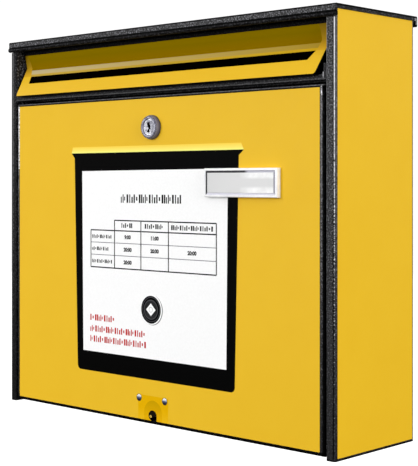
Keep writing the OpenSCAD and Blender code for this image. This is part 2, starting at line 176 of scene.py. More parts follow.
def powder_coat(node, dark, painted_highlights=()):
    """Fine-texture black polyester powder coat on steel, sprayed and baked.

    The wrinkled skin breaks the light into small grey specks. Dark places are painted shade in
    folds, gaps and under edges; the painted highlights are bright lines on bends that catch the
    light. Each is an amount with the limits it lies in."""
    look = bpy.context.scene.mailbox_casing
    # Painted shade mixes the coat towards this black, painted highlights towards this grey
    painted_shade_black = linear("#020202")
    highlight_grey = linear("#F2F2F6")
    material, tree, shader, place = start_material(
        "black_fine_texture_powder_coat_" + node, IOR=1.5, Specular_IOR_Level=look.gloss)
    # The real wrinkles are about 0.4 mm wide, and are drawn coarser so that they show
    grain = roughen(tree, shader, place, look.grain_size / MM, 0.10, (0.38, 0.62), 3.0)
    specks = add_node(tree, "ShaderNodeValToRGB", {"Fac": grain.outputs["Fac"]}, stops=[
        (0.38, linear("#040405")), (0.52, linear("#232326")), (0.66, linear("#929298")),
    ])
    cut = add_node(tree, "ShaderNodeSeparateXYZ", {"Vector": place})
    side = add_node(tree, "ShaderNodeMath", {0: cut.outputs["X"]}, operation="ABSOLUTE")
    axes = {"x": cut.outputs["X"], "y": cut.outputs["Y"], "z": cut.outputs["Z"],
            "side": side.outputs[0]}
    # Painted shade: the coat is drawn darker towards the foot, as the light falls from above
    painted_light_from_above = add_node(tree, "ShaderNodeMapRange", {
        "Value": cut.outputs["Z"], "From Min": SHELL_LOW.z, "From Max": SHELL_HIGH.z,
        "To Min": 0.16, "To Max": 0.85})
    coat = add_node(tree, "ShaderNodeMix", {
        0: painted_light_from_above.outputs["Result"], 6: linear("#050506"), 7: specks.outputs["Color"],
    }, data_type="RGBA").outputs[2]
    # The painted highlights break into flecks rather than an even line, and fade towards the foot
    flakes = add_node(tree, "ShaderNodeTexNoise", {
        "Vector": place, "Scale": per_mm(1.4), "Detail": 2.0})
    highlight_fade = add_node(tree, "ShaderNodeMapRange", {
        "Value": cut.outputs["Z"], "From Min": SHELL_LOW.z, "From Max": SHELL_HIGH.z,
        "To Min": -0.32, "To Max": 0.16})
    amount = add_node(tree, "ShaderNodeMath", {
        0: flakes.outputs["Fac"], 1: highlight_fade.outputs["Result"]}, operation="ADD")
    highlight_flecks = add_node(tree, "ShaderNodeMapRange", {
        "Value": amount.outputs[0], "From Min": 0.36, "From Max": 0.60})
    # The painted shade takes the gloss away too, so it darkens the reflections as well
    gloss = look.gloss
    # Painted shade: each dark stroke mixes the coat towards black
    for share, *limits in dark:
        mask = add_node(tree, "ShaderNodeMath", {
            0: inside(tree, axes, limits), 1: share}, operation="MULTIPLY")
        coat = add_node(tree, "ShaderNodeMix", {
            0: mask.outputs[0], 6: coat, 7: painted_shade_black}, data_type="RGBA").outputs[2]
        gloss = add_node(tree, "ShaderNodeMix", {
            0: mask.outputs[0], 2: gloss, 3: 0.0}, data_type="FLOAT").outputs[0]
    # Painted highlights: bright grey flecks along the given bends and edges
    for share, *limits in painted_highlights:
        mask = add_node(tree, "ShaderNodeMath", {
            0: inside(tree, axes, limits), 1: share}, operation="MULTIPLY")
        mask = add_node(tree, "ShaderNodeMath", {
            0: mask.outputs[0], 1: highlight_flecks.outputs["Result"]}, operation="MULTIPLY")
        coat = add_node(tree, "ShaderNodeMix", {
            0: mask.outputs[0], 6: coat, 7: highlight_grey}, data_type="RGBA").outputs[2]
    tree.links.new(coat, shader.inputs["Base Color"])
    tree.links.new(gloss, shader.inputs["Specular IOR Level"])
    return material


def rivet_paint():
    """Blind rivets sprayed over with the same black, so smoother and a little glossier."""
    material, tree, shader, place = start_material(
        "black_painted_rivet", Base_Color=linear("#0D0D0E"), Specular_IOR_Level=0.4)
    roughen(tree, shader, place, 0.8, 0.02, (0.3, 0.5))
    return material


def vinyl_film(name="yellow_printed_vinyl_film", tone=None):
    """Printed vinyl under a satin laminate: even, with a faint mottle and soft orange peel."""
    look = bpy.context.scene.mailbox_film
    material, tree, shader, place = start_material(
        name, Specular_IOR_Level=0.14, Roughness=0.5)
    tone = tone or look.colour
    roughen(tree, shader, place, 2.6, 0.006, (0.44, 0.56))
    mottle = add_node(tree, "ShaderNodeTexNoise", {
        "Vector": place, "Scale": per_mm(28), "Detail": 3.0})
    colour = add_node(tree, "ShaderNodeValToRGB", {"Fac": mottle.outputs["Fac"]}, stops=[
        (0.35, (tone[0] * 0.993, tone[1] * 0.988, tone[2] * 0.95, 1)),
        (0.65, (tone[0] * 1.005, tone[1] * 1.01, tone[2] * 1.05, 1)),
    ])
    tree.links.new(colour.outputs["Color"], shader.inputs["Base Color"])
    return material


def plain_ink(name, tone, gloss, rough=0.5):
    """One flat printing ink under the film's laminate: its dots show as a faint unevenness.

    The real dots are about 0.2 mm apart, and are drawn coarser so that they show."""
    material, tree, shader, place = start_material(name, Specular_IOR_Level=gloss)
    grain = roughen(tree, shader, place, 1.6, 0.004, (rough - 0.05, rough + 0.05))
    colour = add_node(tree, "ShaderNodeValToRGB", {"Fac": grain.outputs["Fac"]}, stops=[
        (0.3, tuple(c * 0.96 for c in tone[:3]) + (1,)),
        (0.7, tuple(min(1, c * 1.03) for c in tone[:3]) + (1,)),
    ])
    tree.links.new(colour.outputs["Color"], shader.inputs["Base Color"])
    return material


def graded_ink(name, axis, start, end, codes, gloss):
    """Ink that fades from the first to the last colour between two places on an axis.

    It gives a printed shadow or edge its fall from light to dark. Places are in metres."""
    material, tree, shader, place = start_material(
        name, Specular_IOR_Level=gloss, Roughness=0.5)
    cut = add_node(tree, "ShaderNodeSeparateXYZ", {"Vector": place})
    along = add_node(tree, "ShaderNodeMapRange", {
        "Value": cut.outputs[axis], "From Min": start, "From Max": end})
    steps = [(i / (len(codes) - 1), linear(code)) for i, code in enumerate(codes)]
    colour = add_node(tree, "ShaderNodeValToRGB", {"Fac": along.outputs["Result"]}, stops=steps)
    tree.links.new(colour.outputs["Color"], shader.inputs["Base Color"])
    return material


def bright_chrome():
    """Polished chrome plate on a die-cast lock, with painted reflections in its colour: dark round
    the rim, as of a dark room, and bright arcs across the face, as of windows; fine wiping marks
    blur both."""
    material, tree, shader, place = start_material("polished_chrome_plate", Metallic=1.0)
    middle = (LOCK_LOW + LOCK_HIGH) / 2
    roughen(tree, shader, place, 0.9, 0.004, (0.12, 0.26))
    shifted = add_node(tree, "ShaderNodeVectorMath", {
        0: place, 1: (-middle.x, 0, -middle.z)}, operation="ADD")
    flat = add_node(tree, "ShaderNodeVectorMath", {
        0: shifted.outputs[0], 1: (1, 0, 1)}, operation="MULTIPLY")
    radius = add_node(tree, "ShaderNodeVectorMath", {0: flat.outputs[0]}, operation="LENGTH")
    out = add_node(tree, "ShaderNodeMapRange", {
        "Value": radius.outputs["Value"], "From Max": (LOCK_HIGH.x - LOCK_LOW.x) / 2})
    reflection_rings = add_node(tree, "ShaderNodeValToRGB", {"Fac": out.outputs["Result"]}, stops=[
        (0.0, linear("#B8B9C0")), (0.5, linear("#C0C1C8")), (0.62, linear("#EAEBF0")),
        (0.74, linear("#A6A6B2")), (0.83, linear("#5E5D6A")), (0.9, linear("#2A2832")),
    ])
    reflection_arcs = add_node(tree, "ShaderNodeTexNoise", {
        "Vector": place, "Scale": per_mm(4.2), "Detail": 1.0})
    contrast = add_node(tree, "ShaderNodeValToRGB", {"Fac": reflection_arcs.outputs["Fac"]}, stops=[
        (0.36, (0.4, 0.4, 0.43, 1)), (0.5, (0.8, 0.8, 0.82, 1)), (0.58, (1, 1, 1, 1)),
    ])
    colour = add_node(tree, "ShaderNodeMix", {
        0: 1.0, 6: reflection_rings.outputs["Color"], 7: contrast.outputs["Color"],
    }, data_type="RGBA", blend_type="MULTIPLY")
    tree.links.new(colour.outputs[2], shader.inputs["Base Color"])
    return material


def zinc_plate():
    """Bright zinc-plated steel: a satin grey with a cloudy, faintly blue and straw tint."""
    material, tree, shader, place = start_material("zinc_plated_steel", Metallic=1.0)
    cloud = roughen(tree, shader, place, 2.0, 0.006, (0.26, 0.44))
    tint = add_node(tree, "ShaderNodeValToRGB", {"Fac": cloud.outputs["Fac"]}, stops=[
        (0.35, linear("#A9AFB6")), (0.55, linear("#C4C6C6")), (0.7, linear("#CBC6B4")),
    ])
    tree.links.new(tint.outputs["Color"], shader.inputs["Base Color"])
    return material


def moulded_rubber():
    """Moulded black rubber: matt, with a slight bloom on its skin."""
    material, tree, shader, place = start_material(
        "moulded_black_rubber", Specular_IOR_Level=0.3)
    bloom = roughen(tree, shader, place, 0.7, 0.02, (0.7, 0.9))
    tint = add_node(tree, "ShaderNodeValToRGB", {"Fac": bloom.outputs["Fac"]}, stops=[
        (0.35, linear("#141414")), (0.7, linear("#2A2A29")),
    ])
    tree.links.new(tint.outputs["Color"], shader.inputs["Base Color"])
    return material


def styrene(name, dark, light, rough=(0.3, 0.42)):
    """Injection-moulded styrene: smooth, with a trace of flow in its tone."""
    material, tree, shader, place = start_material(name, Specular_IOR_Level=0.35)
    flow = roughen(tree, shader, place, 5.0, 0.004, rough)
    tint = add_node(tree, "ShaderNodeValToRGB", {"Fac": flow.outputs["Fac"]}, stops=[
        (0.3, linear(dark)), (0.7, linear(light)),
    ])
    tree.links.new(tint.outputs["Color"], shader.inputs["Base Color"])
    return material


def acrylic_window():
    """Clear acrylic over blank paper: pale grey, with a painted reflection of a window, a soft
    white, in its right half.
    """
    material, tree, shader, place = start_material(
        "acrylic_window", Specular_IOR_Level=0.35)
    blur = roughen(tree, shader, place, 6.0, 0.004, (0.1, 0.18))
    cut = add_node(tree, "ShaderNodeSeparateXYZ", {"Vector": place})
    across = add_node(tree, "ShaderNodeMapRange", {
        "Value": cut.outputs["X"], "From Min": PLATE_LOW.x + 36 * MM,
        "From Max": PLATE_LOW.x + 48 * MM})
    middle = (PLATE_LOW.z + PLATE_HIGH.z) / 2
    height = add_node(tree, "ShaderNodeMath", {
        0: cut.outputs["Z"], 1: middle}, operation="SUBTRACT")
    off = add_node(tree, "ShaderNodeMath", {0: height.outputs[0]}, operation="ABSOLUTE")
    band = add_node(tree, "ShaderNodeMapRange", {
        "Value": off.outputs[0], "From Min": 2.5 * MM, "From Max": 4.5 * MM})
    sheen = add_node(tree, "ShaderNodeMath", {
        0: across.outputs["Result"], 1: band.outputs["Result"]}, operation="MULTIPLY")
    soft = add_node(tree, "ShaderNodeMath", {
        0: sheen.outputs[0], 1: blur.outputs["Fac"]}, operation="MULTIPLY")
    colour = add_node(tree, "ShaderNodeMix", {
        0: soft.outputs[0], 6: linear("#CFCFCF"), 7: linear("#FFFFFF"),
    }, data_type="RGBA")
    tree.links.new(colour.outputs[2], shader.inputs["Base Color"])
    return material


MADE = {}


def shared_material(make, *args):
    """Makes a material once and gives the same one to every later piece."""
    key = make.__name__ + "".join(str(a) for a in args)
    if key not in MADE:
        MADE[key] = make(*args)
    return MADE[key]


# Printing inks that a user would leave alone: colour and gloss
INKS = {
    # The table's outer lines, and the inner ones, which are thinner and look paler
    "grey_line_ink": ("#101014", 0.02),
    "pale_line_ink": ("#6A6A72", 0.02),
    # The knob's lit ring edges, its soft shadow on the card, and the circle in its diamond
    "grey_ring_ink": ("#505054", 0.05),
    "pale_shadow_ink": ("#8C8C8E", 0.05),
    "soft_grey_ink": ("#D2D2D4", 0.05),
    # The keyhole, the glint on its edge, and the shadowed rims of its rivets
    "keyhole_ink": ("#120F06", 0.03),
    "keyhole_glint_ink": ("#C9A94E", 0.05),
    "rivet_rim_ink": ("#4E4020", 0.05),
    # The flap's printed slot, and the lock's keyway, a painted shade where no light comes back
    "black_slot_ink": ("#020100", 0.0),
    "unlit_keyway": ("#030304", 0.02),
}


def ink(name):
    """One of the inks above as a material."""
    code, gloss = INKS[name]
    return shared_material(plain_ink, name, linear(code), gloss)


def chosen_ink(name, gloss):
    """An ink whose colour is one of the print settings, as a material."""
    tone = getattr(bpy.context.scene.mailbox_print, name)
    return shared_material(plain_ink, name + "_ink", tuple(tone), gloss)


# Mesh tools


# Edges sharper than this many degrees stay crisp; on chrome and acrylic it is less
SMOOTH_ANGLE = 35
CRISP_ANGLE = 25
# Corners nearer than this are one corner
JOIN = 1e-6


def finish_piece(name, mesh_source, body, materials, smooth=SMOOTH_ANGLE, replaces=()):
    """Turns a bmesh into a named piece that rides on a body and stands for the named CAD nodes."""
    mesh = bpy.data.meshes.new(name)
    mesh_source.to_mesh(mesh)
    mesh_source.free()
    # Normals stored with the loose triangles no longer fit the joined ones
    stored = mesh.attributes.get("custom_normal")
    if stored:
        mesh.attributes.remove(stored)
    piece = bpy.data.objects.new(name, mesh)
    bpy.context.scene.collection.objects.link(piece)
    for material in materials:
        mesh.materials.append(material)
    mesh.shade_smooth()
    mesh.set_sharp_from_angle(angle=math.radians(smooth))
    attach(piece, body)
    if replaces:
        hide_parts(*replaces)
    return piece


def copy_of(node):
    """A CAD node's mesh with its loose triangles joined."""
    shape = bmesh.new()
    shape.from_mesh(frame["nodes"][node].data)
    bmesh.ops.remove_doubles(shape, verts=shape.verts, dist=JOIN)
    return shape


def coat_node(name, node, body, material, smooth=SMOOTH_ANGLE):
    """A joined and smoothed copy of a CAD node with its finish, in place of the loose one."""
    return finish_piece(name, copy_of(node), body, [material], smooth, (node,))


def outline(shape, points, radius=0, corners=()):
    """A flat face through the points, with the numbered corners, or all of them, rounded."""
    verts = [shape.verts.new((x, z, 0)) for x, z in points]
    shape.faces.new(verts)
    if radius:
        chosen = [verts[i] for i in corners] if corners else verts
        bmesh.ops.bevel(
            shape, geom=chosen, offset=radius, offset_type="OFFSET", affect="VERTICES",
            segments=8, profile=0.5, material=-1)


def verts_in(geometry):
    """The vertices among a bmesh operator's results."""
    return [part for part in geometry if isinstance(part, bmesh.types.BMVert)]


def raise_faces(shape):
    """Gives the flat faces drawn so far the ink's thickness, towards the viewer."""
    base = list(shape.faces)
    top = bmesh.ops.extrude_face_region(shape, geom=base, use_keep_orig=True)
    bmesh.ops.translate(shape, vec=(0, 0, INK), verts=verts_in(top["geom"]))
    bmesh.ops.recalc_face_normals(shape, faces=shape.faces)


def plate_of(points, radius=0, corners=()):
    """An ink plate over an outline, drawn in millimetres."""
    shape = bmesh.new()
    outline(shape, points, radius, corners)
    raise_faces(shape)
    return shape


def rectangle(left, right, low, high):
    """The corners of a rectangle, in order round it."""
    return [(left, low), (right, low), (right, high), (left, high)]


def strips(rectangles):
    """Several rectangles as ink plates in one mesh."""
    shape = bmesh.new()
    for left, right, low, high in rectangles:
        outline(shape, rectangle(left, right, low, high))
    raise_faces(shape)
    return shape


def disc(radius, segments=48, at=(0, 0), hole=0, stretch=(1, 1)):
    """A round ink plate, or a ring if it has a hole of that radius."""
    shape = bmesh.new()
    made = bmesh.ops.create_circle(
        shape, cap_ends=True, cap_tris=False, segments=segments, radius=radius)
    bmesh.ops.scale(shape, vec=(*stretch, 1), verts=made["verts"])
    if hole:
        ring = bmesh.ops.inset_region(
            shape, faces=list(shape.faces), thickness=radius - hole, use_boundary=True,
            use_even_offset=True)
        inner = [f for f in shape.faces if f not in ring["faces"]]
        bmesh.ops.delete(shape, geom=inner, context="FACES")
    bmesh.ops.translate(shape, vec=(*at, 0), verts=shape.verts)
    raise_faces(shape)
    return shape


def print_on_door(name, shape, level, material):
    """Places a drawing on the door's film, that many layers of ink up.

    It is in millimetres, right from the middle and up from the casing's lower edge."""
    front = FILM_LOW.y - level * INK * MM
    bmesh.ops.transform(shape, matrix=upright_plane(0, front, SHELL_LOW.z), verts=shape.verts)
    bmesh.ops.recalc_face_normals(shape, faces=shape.faces)
    finish_piece(name, shape, "door", [material])


# Settings


class CasingLook(bpy.types.PropertyGroup):
    grain_size: FloatProperty(
        name="Coat grain", description="Width of one wrinkle in the powder coat",
        default=1.15 * MM, min=0.3 * MM, max=4 * MM, unit="LENGTH", precision=5)
    gloss: FloatProperty(
        name="Coat gloss", description="Strength of the powder coat's reflections",
        default=0.2, min=0, max=1, subtype="FACTOR")


class FilmLook(bpy.types.PropertyGroup):
    colour: FloatVectorProperty(
        name="Film colour", description="Colour of the printed film on the door, flap and sides",
        default=linear("#EABB20")[:3], size=3, min=0, max=1, subtype="COLOR")


class PrintLook(bpy.types.PropertyGroup):
    black_panel: FloatVectorProperty(
        name="Panel colour", description="Colour of the printed panel and of the knob's rim",
        default=linear("#010101")[:3], size=3, min=0, max=1, subtype="COLOR")
    white_card: FloatVectorProperty(
        name="Card colour", description="Colour of the printed card",
        default=linear("#FFFFFF")[:3], size=3, min=0, max=1, subtype="COLOR")
    dark_text: FloatVectorProperty(
        name="Table text", description="Colour of the table's numbers and strokes",
        default=linear("#020204")[:3], size=3, min=0, max=1, subtype="COLOR")
    red_text: FloatVectorProperty(
        name="Notice text", description="Colour of the strokes below the table",
        default=linear("#BC0004")[:3], size=3, min=0, max=1, subtype="COLOR")


class StageLook(bpy.types.PropertyGroup):
    drop: FloatProperty(
        name="Floor drop", description="Distance from the mailbox down to the floor",
        default=0.6, min=0.1, max=3, unit="LENGTH")
    ambience: FloatProperty(
        name="Ambience", description="Strength of the soft white light, mostly from above",
        default=1.3, min=0, max=4)


# Operators


# The rail's lower front edge lies this far below the top of its end tabs, in millimetres
RAIL_EDGE_DROP = 11.1


class MAILBOX_OT_casing(bpy.types.Operator):
    """Coats the folded steel casing: shell, floor pan, rail and roof"""
    bl_idname = "mailbox.casing"
    bl_label = "Casing"

    def execute(self, context):
        right = SHELL_HIGH.x / MM
        face = SHELL_LOW.y / MM
        foot = SHELL_LOW.z / MM
        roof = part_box("roof")[1].z / MM
        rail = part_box("front_rail")[1].z / MM - RAIL_EDGE_DROP
        # For each sheet its strokes of painted shade, then its painted highlights
        tones = {
            "body_shell": (
                # Painted shade: both posts' outer bends, the cut lower edge, and the left post's
                # face
                ((0.9, ("side", right - 2.0, right - 1.2), ("y", face - 1, face + 1)),
                 (1.0, ("z", foot - 1, foot + 1)),
                 (0.65, ("x", -right - 1, 0), ("y", face - 1, face + 1))),
                # Painted highlights: the right post's outer edge and side, its inner edge, and the
                # left post's edge
                ((1.0, ("x", right - 1.2, right - 0.1), ("y", face - 1, face + 0.8)),
                 (0.06, ("x", right - 0.6, right + 1), ("y", face + 0.8, face + 3)),
                 (0.26, ("x", right - 8.1, right - 7.1), ("y", face - 1, face + 1)),
                 (0.10, ("x", 3.4 - right, 4.6 - right), ("y", face - 1, face + 1)))),
            # Painted shade over the whole floor pan
            "floor_pan": (((0.8, ("z", foot - 1, foot + 400)),), ()),
            "front_rail": (
                # Painted shade on the whole rail, and more so below its front edge
                ((0.5, ("z", rail - 20, rail + 20)), (0.8, ("z", rail - 20, rail - 0.4))),
                # Painted highlights on the front edge, and on the bend of the right end tab
                ((0.06, ("z", rail - 0.4, rail + 0.4)),
                 (0.4, ("x", right - 10.9, right - 9.9), ("z", rail + 0.6, rail + 5)))),
            "roof": (
                # Painted shade on the bend round the top, the line above the rolled bead, below
                # it, and the sides
                ((0.9, ("z", roof - 1.3, roof + 1)), (0.95, ("z", roof - 6.6, roof - 4.8)),
                 (0.75, ("z", roof - 20, roof - 6.5)), (0.6, ("side", right + 0.9, right + 9))),
                # The ends of the rear hem, painted pale grey in flecks
                ((0.9, ("side", right + 0.5, right + 3), ("y", -0.5, 1.6),
                  ("z", roof - 6.5, roof - 1.4)),)),
        }
        for node, (dark, painted_highlights) in tones.items():
            coat_node("coated_" + node, node, "casing",
                      powder_coat(node, dark, painted_highlights))
        return {"FINISHED"}


class MAILBOX_OT_fixings(bpy.types.Operator):
    """Finishes the rivets, spacers, buffers, flap rod and its caps"""
    bl_idname = "mailbox.fixings"
    bl_label = "Fixings"

    def execute(self, context):
        rubber = shared_material(moulded_rubber)
        zinc = shared_material(zinc_plate)
        coat_node("painted_rivets", "casing_rivets", "casing",
                  shared_material(rivet_paint))
        coat_node("rubber_wall_spacers", "wall_spacers", "casing", rubber)
        coat_node("rubber_door_buffers", "door_buffers", "casing", rubber)
        coat_node("hinge_rod", "flap_rod", "casing", zinc)
        coat_node("hinge_rod_caps", "rod_caps", "casing", zinc)
        return {"FINISHED"}


class MAILBOX_OT_side_films(bpy.types.Operator):
    """Lays the printed film on both sides"""
    bl_idname = "mailbox.side_films"
    bl_label = "Side films"

    def execute(self, context):
        vinyl = shared_material(vinyl_film)
        for side in ("left", "right"):
            coat_node("vinyl_side_" + side, "side_film_" + side, "casing", vinyl)
        return {"FINISHED"}


# The flap's print in millimetres: distance down the face from the crease, and the place of its
# left and right ends there
FLAP_PRINT_ENDS = (
    (-12.5, -171.2, 163.0), (-5.0, -167.2, 165.0), (-1.5, -166.0, 165.3), (2.4, -164.4, 165.2),
    (6.9, -162.6, 164.4), (9.3, -161.4, 163.4), (17.0, -159.8, 158.6),
)
# Where the shadow, the cream edge, the ochre edge and the slot end, going down
FLAP_BANDS = (2.4, 6.9, 9.3, 17.0)
# Painted shade: the flap leans out to the light, so its sheet of film is drawn this much darker
# than the door's
FLAP_PAINTED_SHADE = 0.93


def flap_station(point):
    """Distance down the flap's face from the crease, in millimetres, less than zero above it."""
    if point.z > CREASE.z:
        return -(point.z - CREASE.z) / MM
    return (point - CREASE).dot(FACE_DOWN) / MM


def print_ends_at(station):
    """Left and right end of the flap's print at that distance down the face."""
    rows = FLAP_PRINT_ENDS
    for (s0, l0, r0), (s1, l1, r1) in zip(rows, rows[1:]):
        if s0 <= station <= s1:
            share = (station - s0) / (s1 - s0)
            return l0 + (l1 - l0) * share, r0 + (r1 - r0) * share
    return (rows[0][1], rows[0][2]) if station < rows[0][0] else (rows[-1][1], rows[-1][2])


def flap_point(x, station):
    """The point on the flap's face at that place across and down it, in metres."""
    if station < 0:
        return Vector((x * MM, CREASE.y, CREASE.z - station * MM))
    return Vector((x * MM, 0, 0)) + CREASE + FACE_DOWN * station * MM


class MAILBOX_OT_flap(bpy.types.Operator):
    """Coats the letter flap and prints the slot and its shading on its film"""
    bl_idname = "mailbox.flap"
    bl_label = "Letter flap"

    def execute(self, context):
        # Painted shade: the flap's whole coat is drawn near black, in the shade under the roof's
        # lip
        coat_node("coated_flap", "flap_panel", "flap",
                  powder_coat("flap", ((0.9, ("z", FLAP_LOW.z / MM - 1, FLAP_HIGH.z / MM + 1)),)))
        # The film is cut along the bands and along the print's ends, then inked face by face
        film = copy_of("flap_film")
        cuts = [(CREASE + FACE_DOWN * s * MM, FACE_DOWN) for s in FLAP_BANDS]
        rows = FLAP_PRINT_ENDS
        for above, below in zip(rows, rows[1:]):
            for side in (1, 2):  # left, right
                start = flap_point(above[side], above[0])
                end = flap_point(below[side], below[0])
                out = FACE_OUT if above[0] >= 0 else Vector((0, -1, 0))
                cuts.append((start, (end - start).cross(out).normalized()))
        for place, normal in cuts:
            bmesh.ops.bisect_plane(
                film, geom=[*film.verts, *film.edges, *film.faces], dist=1e-7,
                plane_co=place, plane_no=normal)
        for face in film.faces:
            # The film's back and edges stay plain
            if face.normal.y > -0.2:
                continue
            middle = face.calc_center_median()
            station = flap_station(middle)
            left, right = print_ends_at(station)
            if left < middle.x / MM < right and station < FLAP_BANDS[3]:
                face.material_index = 1 + sum(station > s for s in FLAP_BANDS[:3])
            elif station < FLAP_BANDS[2]:
                face.material_index = 5
        olive = graded_ink(
            "olive_shadow_ink", "Z", CREASE.z - 4 * MM, CREASE.z + 12 * MM,
            ("#846600", "#866800", "#826A00", "#907600"), 0.0)
        cream = graded_ink(
            "cream_edge_ink", "X", FLAP_LOW.x, FLAP_HIGH.x,
            ("#C0B086", "#B8A05A", "#AA8C2A"), 0.02)
        edge = graded_ink(
            "ochre_edge_ink", "X", FLAP_LOW.x, FLAP_HIGH.x,
            ("#C4A242", "#BC9A2C", "#CCA216"), 0.02)
        ends = graded_ink(
            "flap_end_ink", "Z", CREASE.z - 12 * MM, CREASE.z + 12 * MM,
            ("#ECBD2C", "#D0A024", "#AC861A", "#94740E", "#886C08"), 0.02)
        red, green, blue = context.scene.mailbox_film.colour
        # A darker copy of the yellow film: painted shade
        shaded_flap_film = vinyl_film(
            "yellow_printed_flap_film", (red * FLAP_PAINTED_SHADE, green * FLAP_PAINTED_SHADE, blue))
        finish_piece("printed_flap_film", film, "flap",
                     [shaded_flap_film, olive, cream, edge, ink("black_slot_ink"), ends],
                     replaces=("flap_film",))
        return {"FINISHED"}


class MAILBOX_OT_door(bpy.types.Operator):
    """Coats the door, lays its film and finishes its hinge pins"""
    bl_idname = "mailbox.door"
    bl_label = "Door"

    def execute(self, context):
        edge = DOOR_HIGH.x / MM
        top = DOOR_HIGH.z / MM
        foot = DOOR_LOW.z / MM
        # Painted shade on the right fold's rear half, and on the bare strips below and above the
        # film
        dark = (
            (0.9, ("x", edge - 1.1, edge + 1)),
            (0.9, ("z", foot - 1, FILM_LOW.z / MM - 0.2)),
            (0.8, ("z", FILM_HIGH.z / MM - 1, top - 0.9)),
        )
        # Painted highlights on the right fold and its upper end, the upper edge, and the left
        # fold's upper part
        painted_highlights = (
            (0.16, ("x", edge - 2.6, edge - 1.5), ("z", foot, top)),
            (0.9, ("x", edge - 2.6, edge - 1.5), ("z", top - 8, top - 1.5)),
            (0.14, ("z", top - 0.9, top + 1)),
            (1.0, ("x", 0.7 - edge, 3.4 - edge), ("z", 45, top - 2)),
            (0.3, ("x", 0.7 - edge, 2.2 - edge), ("z", -40, 45)),
        )
        coat_node("coated_door", "door_panel", "door",
                  powder_coat("door", dark, painted_highlights))
        coat_node("vinyl_door", "door_film", "door", shared_material(vinyl_film))
        coat_node("hinge_pins", "door_pins", "door", shared_material(zinc_plate))
        return {"FINISHED"}


# The door's print, in millimetres: across from the middle, and up from the casing's lower edge
LEDGE_LOW = 222.8
LEDGE_TOP = 228.0
CARD = ((-85.5, 207.5), (82.7, 208.5), (81.1, 54.7), (-84.0, 54.7))
PANEL = ((-99.3, LEDGE_LOW), (99.0, LEDGE_LOW), (93.9, 218.6), (89.7, 38.0), (-91.2, 38.0),
         (-95.4, 218.6))
LEDGE = ((-99.2, LEDGE_LOW), (98.9, LEDGE_LOW), (96.2, LEDGE_TOP), (-97.7, LEDGE_TOP))
PANEL_CORNER = 4
PANEL_ROUND = (3, 4)


class MAILBOX_OT_panel_print(bpy.types.Operator):
    """Prints the black panel, its bright upper edge and the white card"""
    bl_idname = "mailbox.panel_print"
    bl_label = "Panel print"

    def execute(self, context):
        foot = SHELL_LOW.z
        bright = graded_ink(
            "bright_edge_ink", "Z", foot + LEDGE_LOW * MM, foot + LEDGE_TOP * MM,
            ("#FFF884", "#FFE566", "#FDD948"), 0.12)
        print_on_door("print_upper_edge", plate_of(LEDGE), 0, bright)
        print_on_door("print_black_panel", plate_of(PANEL, PANEL_CORNER, PANEL_ROUND), 0,
                      chosen_ink("black_panel", 0.02))
        print_on_door("print_white_card", plate_of(CARD), 1, chosen_ink("white_card", 0.05))
        return {"FINISHED"}


# The table's upright and level lines
COLUMNS = (-74.2, -44.7, -13.0, 18.7, 70.8)
ROWS = (166.3, 157.7, 147.4, 137.0, 126.4)
LINE_HALF = 0.5
THIN_LINE_HALF = 0.28
DIGIT_HEIGHT = 3.0
# Height of a digit as a share of the font's size, and how much bolder than the font it is
DIGIT_SHARE = 0.7
BOLD_SHARE = 0.075

# Places of the strokes that stand for words: left, right, low, high, weight, pattern
TITLE_WORDS = ((-37.0, 33.8, 181.0, 188.0, 1.15, 4),)
HEAD_WORDS = (
    (-36.2, -22.0, 160.3, 164.2, 0.95, 2),
    (-8.4, 13.4, 160.2, 164.1, 0.95, 3),
    (21.8, 68.2, 159.9, 163.8, 0.95, 7),
)
ROW_WORDS = (
    (-72.4, -48.0, 150.9, 153.9, 0.75, 3),
    (-72.4, -51.5, 140.7, 143.7, 0.75, 6),
    (-72.4, -48.0, 130.1, 133.1, 0.75, 8),
)
NOTICE_WORDS = (
    (-75.0, -43.9, 81.0, 86.2, 1.1, 1),
    (-75.0, -7.5, 71.6, 76.8, 1.05, 4),
    (-75.0, -7.2, 63.0, 68.2, 1.05, 9),
)
# Times with their column and row of the table
TIMES = (
    ("a1", "9:00", 1, 1), ("b1", "11:00", 2, 1), ("a2", "20:00", 1, 2), ("b2", "20:00", 2, 2),
    ("c2", "20:00", 3, 2), ("a3", "20:00", 1, 3),
)


def marks(left, right, low, high, weight, seed):
    """Upright strokes of uneven height that stand for a printed word, without being letters.

    A fixed chain of steps from 0 to 10 makes them uneven, and the same at each run."""
    made = []
    x = left
    step = seed
    short = (high - low) * 0.28
    while x < right - weight:
        step = (step * 7 + 3) % 11
        wide = weight * (1.0 + 0.35 * (step % 3))
        made.append((x, min(x + wide, right),
                     low + short * (step % 4 == 3), high - short * (step % 2)))
        x += wide + weight * (0.6 + 0.3 * (step % 4))
    return made


def word_strokes(words):
    """The strokes of several words, as ink plates in one mesh."""
    return strips([stroke for word in words for stroke in marks(*word)])


def digits(name, text, middle, low, level, material):
    """Numbers as ink plates on the door, centred on middle, in millimetres."""
    curve = bpy.data.curves.new(name, "FONT")
    curve.body = text
    curve.align_x = "CENTER"
    curve.size = DIGIT_HEIGHT / DIGIT_SHARE
    curve.offset = DIGIT_HEIGHT * BOLD_SHARE
    curve.resolution_u = 3
    holder = bpy.data.objects.new(name + "_curve", curve)
    bpy.context.scene.collection.objects.link(holder)
    bpy.context.view_layer.update()
    graph = bpy.context.evaluated_depsgraph_get()
    flat = bpy.data.meshes.new_from_object(holder.evaluated_get(graph))
    bpy.data.objects.remove(holder)
    bpy.data.curves.remove(curve)
    shape = bmesh.new()
    shape.from_mesh(flat)
    bpy.data.meshes.remove(flat)
    bmesh.ops.remove_doubles(shape, verts=shape.verts, dist=1e-5)
    bmesh.ops.translate(shape, vec=(middle, low, 0), verts=shape.verts)
    raise_faces(shape)
    print_on_door(name, shape, level, material)


